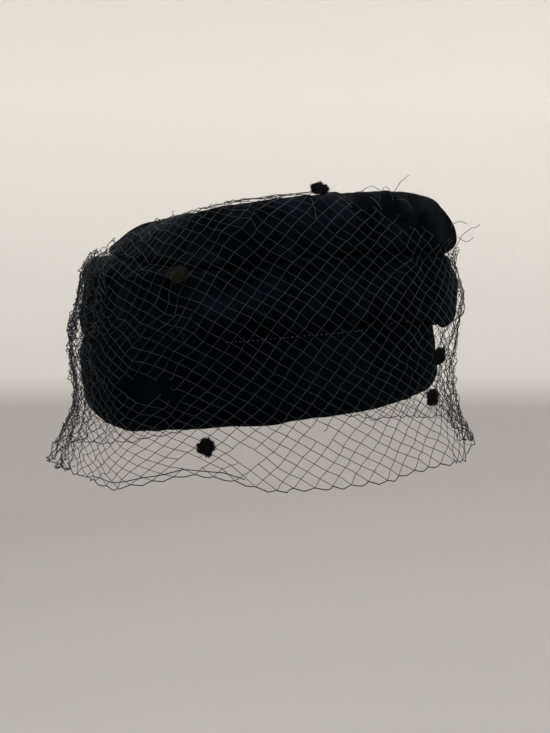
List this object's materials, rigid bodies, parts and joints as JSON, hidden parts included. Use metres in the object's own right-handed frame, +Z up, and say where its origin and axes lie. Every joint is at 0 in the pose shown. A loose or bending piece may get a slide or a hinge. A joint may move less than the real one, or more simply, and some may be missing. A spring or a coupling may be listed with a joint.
{
  "type": "pillbox hat with a net veil",
  "caption": "Draped velvet pillbox hat with a deep side band, an overhanging crown roll, a tucked crown top and a dotted net veil that falls below the rim.",
  "frame": {"origin": "middle of the head opening, in the plane of the rim", "axes": "+Z up out of the crown, -Y the front, +X the wearer's left"},
  "size_m": [0.2273, 0.2337, 0.1452],
  "materials": {
    "velvet": "soft black pile velvet with a faint sheen at its folds",
    "net": "fine black knotted net",
    "chenille": "fuzzy black chenille"
  },
  "bodies": {
    "root": {"side_band": "velvet", "crown_roll": "velvet", "crown_top": "velvet", "veil": "net", "dot_1": "chenille", "dot_2": "chenille", "dot_3": "chenille", "dot_4": "chenille", "dot_5": "chenille", "dot_6": "chenille", "dot_7": "chenille", "dot_8": "chenille", "dot_9": "chenille"}
  },
  "joints": []
}
